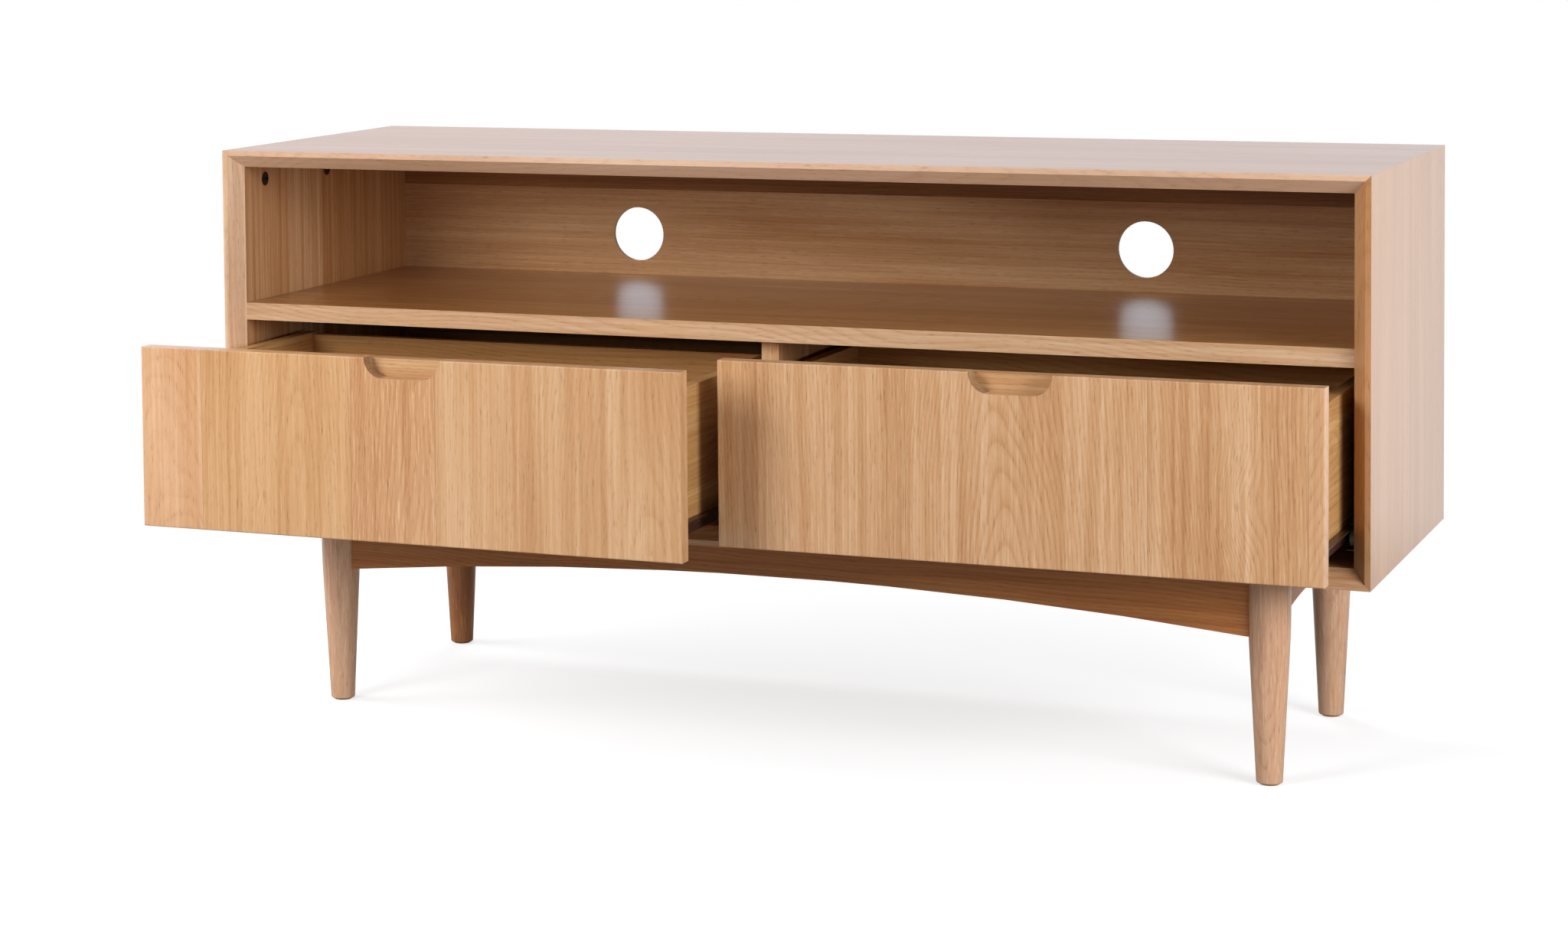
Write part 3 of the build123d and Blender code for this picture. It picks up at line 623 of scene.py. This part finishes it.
def oak(name, along, across, leaves, colours, middle=0.0, seed=0.0, **more):
    """Satin lacquered oak, with its grain along one axis and its leaves across another.

    The colours are dark, mid and pale, and middle is where along the grain the arches meet. More
    sets what differs from usual: taper, solid, contrast, streaks, lipping, knots, cut, rough
    and coat.
    """
    material, tree = new_material(name)
    coords = add_node(tree, "ShaderNodeTexCoord").outputs
    rows = (AXES[along], AXES[across], AXES[along].cross(AXES[across]))
    turned = add_node(
        tree, "ShaderNodeMapping", Vector=coords["Object"], Rotation=Matrix(rows).to_euler()
    )
    spot = add_node(tree, "ShaderNodeSeparateXYZ", Vector=turned).outputs[:]
    length, width, thick = spot
    place = add_node(tree, "ShaderNodeSeparateXYZ", Vector=coords["Object"]).outputs
    normal = add_node(tree, "ShaderNodeSeparateXYZ", Vector=coords["Normal"]).outputs
    leaf = leaf_here(tree, width, leaves)
    log_place = add_node(tree, MATHS, "MULTIPLY_ADD", leaf.heart, LOG_STEP, seed)
    log_place = add_node(tree, MATHS, "ADD", log_place, length)
    here = add_node(tree, "ShaderNodeCombineXYZ", X=log_place, Y=width, Z=thick)

    taper, solid = more.get("taper", 0.10), more.get("solid", 0.0)
    years = rings_to_heart(tree, here, spot, leaf, middle, taper, solid)
    years, marks = knotted(tree, spot, years, more.get("knots", ()))
    band = year_band(tree, years)
    contrast, streaks = more.get("contrast", 0.26), more.get("streaks", 0.9)
    value = wood_value(tree, here, band, leaf, contrast, streaks)
    colour = tinted_colour(tree, value, normal, leaf, colours, more.get("lipping"))

    pits = open_pores(tree, here, band)
    shade = add_node(tree, MATHS, "MULTIPLY", pits, PORE_DARK)
    shade = add_node(tree, MATHS, "SUBTRACT", 1.0, shade)
    for later in leaves[1:]:
        on_joint = add_node(tree, MATHS, "COMPARE", width, later.start, JOINT)
        marks.append(add_node(tree, MATHS, "MULTIPLY_ADD", on_joint, JOINT_DARK, 1.0))
    coat = more.get("coat", LACQUER)
    if "cut" in more:
        wall = cut_wall(tree, place, normal, *more["cut"])
        marks.append(add_node(tree, MATHS, "MULTIPLY_ADD", wall, WALL_DARKER, 1.0))
        coat = add_node(tree, MATHS, "MULTIPLY_ADD", wall, -coat, coat)
    for mark in marks:
        shade = add_node(tree, MATHS, "MULTIPLY", shade, mark)
    final = add_node(tree, VECTOR_MATHS, "SCALE", colour, Scale=shade)

    ridge = add_node(tree, MATHS, "MULTIPLY", band, 0.25)
    height = add_node(tree, MATHS, "MULTIPLY_ADD", pits, -1.0, ridge)
    surface = add_node(
        tree,
        "ShaderNodeBsdfPrincipled",
        Base_Color=final,
        Roughness=more.get("rough", SATIN),
        Specular_IOR_Level=0.1,
        Coat_Weight=coat,
        Coat_Roughness=LACQUER_ROUGH,
        Normal=add_node(tree, "ShaderNodeBump", Strength=0.25, Distance=PORE_DEPTH, Height=height),
    )
    add_node(tree, "ShaderNodeOutputMaterial", Surface=surface)
    return material


print("lacquer", LACQUER, LACQUER_ROUGH)

# %% [markdown]
# ## Handing out the finishes
# A finish goes on by name. An eased copy takes it where there is one, and otherwise the model's
# own piece does, without a change to its mesh.

# %% A helper that finishes pieces
def finish_pieces(names, material):
    """Gives the pieces a finish."""
    for name in names:
        mesh = EASED[name].data if name in EASED else nodes[name].data
        mesh.materials.clear()
        mesh.materials.append(material)
    print(material.name, len(names))


print("pieces to finish", len(nodes))

# %% [markdown]
# ## Oak on the top, the bottom and the shelf
# These boards have their grain along the cabinet, so their leaves lie one behind the other. The
# top is plain, straight wood, picked for the place that is seen most, and its front edge has the
# pale lipping with its painted highlight. The shelf's colours are darker than the rest as painted
# shade, for it lies in the shade of the compartment. Its lacquer is smoother, so that it mirrors
# the cable holes as two pale spots.

# %% Oak on the level boards
VENEER = ("AA7445", "C69468", "DBB690")
# painted shade: the shelf's colours are darker than the veneer's for the shade of the compartment
SHELF_PAINTED_SHADE = ("8C5A30", "AE7846", "C99E70")
LIPPING = ("A37E5F", "C59D7C", "DBBEA5")
# the pale lipping is the edge strip's colour lightened by a painted highlight on the front edges
PALE_LIPPING_PAINTED_HIGHLIGHT = ("B69374", "D3AD90", "E5CBB5")
PLAIN = {"contrast": 0.15, "streaks": 0.45}
SMOOTHER = 0.35
BOARD_TAPER = 0.05

top_leaves = sliced(front_y, back_y, 0.13, 3, 0.15)
top_more = {"taper": BOARD_TAPER, "lipping": PALE_LIPPING_PAINTED_HIGHLIGHT, **PLAIN}
finish_pieces(["top_panel"], oak("oak_top", "x", "y", top_leaves, VENEER, 0.0, 3.0, **top_more))
bottom_leaves = sliced(front_y, back_y, 0.13, 5)
bottom_oak = oak("oak_bottom", "x", "y", bottom_leaves, VENEER, 0.0, 5.0, taper=BOARD_TAPER)
finish_pieces(["bottom_panel"], bottom_oak)
shelf_leaves = sliced(front_y, back_y, 0.14, 7, 0.2)
shelf_more = {"taper": BOARD_TAPER, "lipping": LIPPING, "rough": SMOOTHER, "solid": 0.7}
finish_pieces(["shelf"], oak("oak_shelf", "x", "y", shelf_leaves, SHELF_PAINTED_SHADE, 0.0, 7.0, **shelf_more))

# %% [markdown]
# ## Oak on the sides and the divider
# The sides stand with their grain upright, so that it seems to run over the mitre into the top.
# Each has two broad leaves that meet halfway back. The left one is chosen for its stripes, which
# show inside the compartment, and its rear leaf is toned dark: partly a darker leaf and partly
# painted shade at the back of the compartment. Its front edge has the pale lipping with its painted
# highlight. The right one is plain, and its colours and leaves are toned darker than the other
# boards' as painted shade that tones down the light falling on that side.

# %% Oak on the upright boards
# painted shade: the right side's colours are darker than VENEER to tone down the light on that side
RIGHT_VENEER_PAINTED_SHADE = ("A2703F", "BC8C61", "D1A787")
STRIPED = {"contrast": 0.5, "streaks": 1.5}
side_z = sum(corner.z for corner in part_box("left_side_panel")) / 2

left_leaves = [
    Leaf(front_y, front_y - 0.25, 0.10, 0.1, -0.2, 0.3, 0.2),
    # partly painted shade: this rear leaf is toned dark for the back of the compartment
    Leaf(front_y + 0.19, front_y - 0.15, 0.08, -1.3, -0.2, 1.0, 0.2),
]
left_more = {"lipping": PALE_LIPPING_PAINTED_HIGHLIGHT, **STRIPED}
left_oak = oak("oak_left_side", "z", "y", left_leaves, VENEER, side_z, 11.0, **left_more)
finish_pieces(["left_side_panel"], left_oak)
right_leaves = [
    # painted shade: the right side's leaves are toned dark as well
    Leaf(front_y, front_y - 0.05, 0.09, -0.6, 0.2, 0.8, 0.1),
    Leaf(front_y + 0.21, front_y + 0.36, 0.07, -0.7, 0.2, 0.8, 0.1),
]
right_oak = oak("oak_right_side", "z", "y", right_leaves, RIGHT_VENEER_PAINTED_SHADE, side_z, 16.0, **PLAIN)
finish_pieces(["right_side_panel"], right_oak)
divider_leaves = sliced(front_y, back_y, 0.14, 19)
divider_oak = oak("oak_divider", "z", "y", divider_leaves, VENEER, side_z, 19.0)
finish_pieces(["centre_divider"], divider_oak)

# %% [markdown]
# ## Oak on the back
# The back is a thin veneered panel with its grain along the cabinet. It is plainer and duller
# than the rest, with half the lacquer. Its middle leaf is toned light as painted light on the lower
# compartment, and its top leaf dark as painted shade under the top board. The walls of its two
# cable holes are drawn darker and dull.

# %% Oak on the back
BACK = ("88572F", "B88150", "DFB487")
low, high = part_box("back_panel")
opening = (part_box("shelf")[1].z + high.z) / 2
whole_width = high.x - low.x

back_leaves_painted_light_shade = [
    Leaf(low.z, low.z - 0.2, 0.08, 0.0, 0.0, 0.8, 0.2),
    # painted light: this leaf is toned light for the lower part of the open compartment
    Leaf(low.z + 0.15, low.z - 0.1, 0.08, 0.9, 0.0, 0.8, 0.3),
    # painted shade: this top leaf is toned dark under the top board
    Leaf(opening + 0.02, high.z + 0.06, 0.06, -1.5, 0.0, 0.9, 0.2),
]
back_more = {"taper": BOARD_TAPER, "coat": 0.5, "contrast": 0.12, "streaks": 0.5}
back_more["cut"] = (0.0, whole_width)
back_oak = oak("oak_back", "x", "z", back_leaves_painted_light_shade, BACK, 0.0, 9.0, **back_more)
finish_pieces(["back_panel"], back_oak)

# %% [markdown]
# ## Oak on the drawer fronts
# The fronts are what everyone looks at, so they have upright leaves of their own: plain ones,
# one with arches under the right pull, and a small knot on each front. The arches come from a
# heart that lies just behind the leaf. The pull is cut through the front, and its wall is end
# grain.

# %% Oak on the drawer fronts
FRONT = ("AB764A", "C7996E", "DBB793")
PULL_REACH = 40.5 * MM
front_low, front_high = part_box("left_drawer_front")
front_z = (front_low.z + front_high.z) / 2
pin_height = front_high.z - 0.78 * (front_high.z - front_low.z)

left_leaves = [
    Leaf(-0.5805, -0.545, 0.07, 0.45, 0.5, 0.35, 0.1),
    Leaf(-0.512, -0.405, 0.035, 0.1, -0.4, 0.55, 0.3),
    Leaf(-0.346, -0.18, 0.10, -0.25, 0.3, 0.8, 0.9),
    Leaf(-0.255, -0.045, 0.06, 0.15, -0.1, 0.5, 0.2),
]
right_leaves = [
    Leaf(0.0007, -0.16, 0.09, -0.15, 0.0, 0.7, 0.5),
    Leaf(0.189, 0.292, 0.045, 0.0, 0.1, 1.0, 0.5),
    Leaf(0.42, 0.36, 0.06, -0.1, 0.1, 0.9, 0.6),
    Leaf(0.566, 0.60, 0.06, 0.25, 0.1, 0.6, 0.2),
]
# a knot: its height, its place across the front, and how far the lines bend round it
pin_knot = (pin_height, -0.443, 0.012)
branch_knot = (front_high.z - 0.112, 0.502, 0.035)
drawers = (
    ("left", left_leaves, 21.0, {"knots": (pin_knot,)}),
    ("right", right_leaves, 27.0, {"knots": (branch_knot,), "streaks": 1.1}),
)
for side, leaves, seed, front_more in drawers:
    pull_middle = sum(corner.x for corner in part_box(f"{side}_drawer_front")) / 2
    front_more["cut"] = (pull_middle, PULL_REACH)
    front_oak = oak(f"oak_{side}_front", "z", "x", leaves, FRONT, front_z, seed, **front_more)
    finish_pieces([f"{side}_drawer_front"], front_oak)

# %% [markdown]
# ## Solid oak on the legs
# The legs are turned from solid oak, so the rings have to run on round them: each leg is a cut
# through the same cones from all sides. The rear left leg stands in the cabinet's shade, and its
# colours are darker as painted shade.

# %% Solid oak on the legs
TURNED = ("AD805E", "D0A686", "DEBE9F")
# painted shade: darker colours for the rear left leg in the cabinet's shade
TURNED_PAINTED_SHADE = ("7E4C2A", "9E653A", "B98458")
LEG_HEART_ASIDE = 0.03
LEG_HEART_BEHIND = 0.09
LEG_MIDDLE = 0.1

legs = [name for name in nodes if name.endswith("_leg")]
for number, name in enumerate(legs):
    low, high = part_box(name)
    heart = (low.x + high.x) / 2 + LEG_HEART_ASIDE
    depth = LEG_HEART_BEHIND - (low.y + high.y) / 2
    leaves = [Leaf(low.x, heart, depth, 0.0, 0.3, 0.9, 1.0)]
    colours = TURNED_PAINTED_SHADE if name == "rear_left_leg" else TURNED
    leg_more = {"solid": -1.0, "taper": 0.01, "contrast": 0.14}
    leg_oak = oak(f"oak_{name}", "z", "x", leaves, colours, LEG_MIDDLE, 31.0 + number, **leg_more)
    finish_pieces([name], leg_oak)

# %% [markdown]
# ## Solid oak on the aprons
# The aprons are plain straight boards under the carcass, with little lacquer, because nobody
# touches them. Their colours are a darker, browner oak than the rest: painted shade, for they stand
# in the shade under the carcass and the open drawers.

# %% Solid oak on the aprons
# painted shade: the aprons' colours are darkened for the shade under the drawers
APRON_PAINTED_SHADE = ("89522B", "AC6E3E", "C28955")
apron_more = {"taper": BOARD_TAPER, "coat": 0.3}
straight_board = [Leaf(-1.0, 0.05, 0.06, 0.0, 0.0, 0.9, 0.2)]

long_oak = oak("oak_long_aprons", "x", "z", straight_board, APRON_PAINTED_SHADE, 0.0, 33.0, **apron_more)
finish_pieces(["front_apron", "rear_apron"], long_oak)
side_oak = oak("oak_side_aprons", "y", "z", straight_board, APRON_PAINTED_SHADE, 0.0, 35.0, **apron_more)
finish_pieces(["left_apron", "right_apron"], side_oak)

# %% [markdown]
# ## The drawer boxes
# The boxes are thin boards of yellower oak with hardly any lacquer, as drawers usually are
# inside, so they stay dull beside the fronts. The board behind each front has the front's own
# finish, because it shows in the pull.

# %% The drawer boxes
BOX = ("936940", "B58757", "CCA574")
box_more = {"taper": BOARD_TAPER, "coat": 0.1}
box_board = [Leaf(-1.0, 0.33, 0.05, 0.0, -0.3, 0.8, 0.2)]

across = [name for name in nodes if name.endswith(("_box_back", "_drawer_bottom"))]
finish_pieces(across, oak("box_boards_across", "x", "z", box_board, BOX, 0.0, 41.0, **box_more))
deep = [name for name in nodes if name.endswith(("_drawer_left_side", "_drawer_right_side"))]
finish_pieces(deep, oak("box_boards_deep", "y", "z", box_board, BOX, 0.0, 43.0, **box_more))
behind_fronts = [name for name in nodes if name.endswith("_box_front")]
box_front_oak = oak("box_fronts", "x", "z", box_board, FRONT, 0.0, 45.0, taper=BOARD_TAPER)
finish_pieces(behind_fronts, box_front_oak)

# %% [markdown]
# ## The hidden wood
# Dowels, splines and corner braces are beech, which is paler and pinker than oak, with a very
# faint figure. They show only when the cabinet is taken apart.

# %% Beech for the hidden wood
BEECH = ("BF9464", "D2AC80", "E2C39C")
hidden = [name for name in nodes if name.endswith(("_dowels", "_splines", "_braces"))]
finish_pieces(hidden, oak("beech", "x", "y", straight_board, BEECH, 0.0, 47.0, contrast=0.15))

# %% [markdown]
# ## Finishes of one colour
# Runners, rollers, glides and fixings have one colour all over. No such surface is equally smooth
# everywhere, and that is what tells it from a flat patch of colour. So their roughness has a
# faint fine mottle.

# %% A helper for a finish of one colour
MOTTLES = 400.0  # grains in a metre: 2.5 mm each, coarser than real, which would not show
MOTTLE_DEPTH = 0.12


def mottled(name, colour, rough, metal=0.0):
    """A finish of one colour with a faint mottle in its roughness."""
    material, tree = new_material(name)
    place = add_node(tree, "ShaderNodeTexCoord").outputs["Object"]
    noise = add_node(tree, "ShaderNodeTexNoise", Vector=place, Scale=MOTTLES, Detail=2.0)
    least = rough - MOTTLE_DEPTH / 2
    spread = add_node(tree, MATHS, "MULTIPLY_ADD", noise.outputs["Fac"], MOTTLE_DEPTH, least)
    look = {"Base_Color": linear(colour), "Roughness": spread, "Metallic": metal}
    surface = add_node(tree, "ShaderNodeBsdfPrincipled", **look)
    add_node(tree, "ShaderNodeOutputMaterial", Surface=surface)
    return material


print("mottle", MOTTLE_DEPTH)

# %% [markdown]
# ## Runners, rollers and glides
# The runners are pressed steel in brown enamel, which shines softly as a dark band under each
# drawer. Their rollers are nylon with a waxy sheen, drawn mid grey as painted shade for the dark
# slots they sit in. The glides under the feet are tan plastic, chosen to be lost against the oak.

# %% Runners, rollers and glides
runners = [name for name in nodes if "_runner_" in name and "screws" not in name]
finish_pieces(runners, mottled("runner_enamel", "3A241A", 0.35))
rollers = [name for name in nodes if "_roller_" in name]
# painted shade: the rollers are drawn mid grey for the dark slots they sit in
finish_pieces(rollers, mottled("nylon", "7C7C78", 0.4))
glides = [name for name in nodes if name.endswith("_glide")]
finish_pieces(glides, mottled("glide_plastic", "B08A66", 0.5))

# %% [markdown]
# ## Fixings
# Screws and bolts are plated with zinc, a bright pale metal that is blurred by the plating. The
# cams inside the compartment's sides are finished in dark bronze, so that they show as small
# dark discs and not as bright metal.

# %% Fixings
fixings = [name for name in nodes if name.endswith(("_screws", "_fixings"))]
finish_pieces(fixings, mottled("zinc_plate", "A9A9A4", 0.35, 1.0))
finish_pieces(["cam_fittings"], mottled("cam_bronze", "2A211B", 0.45, 0.3))
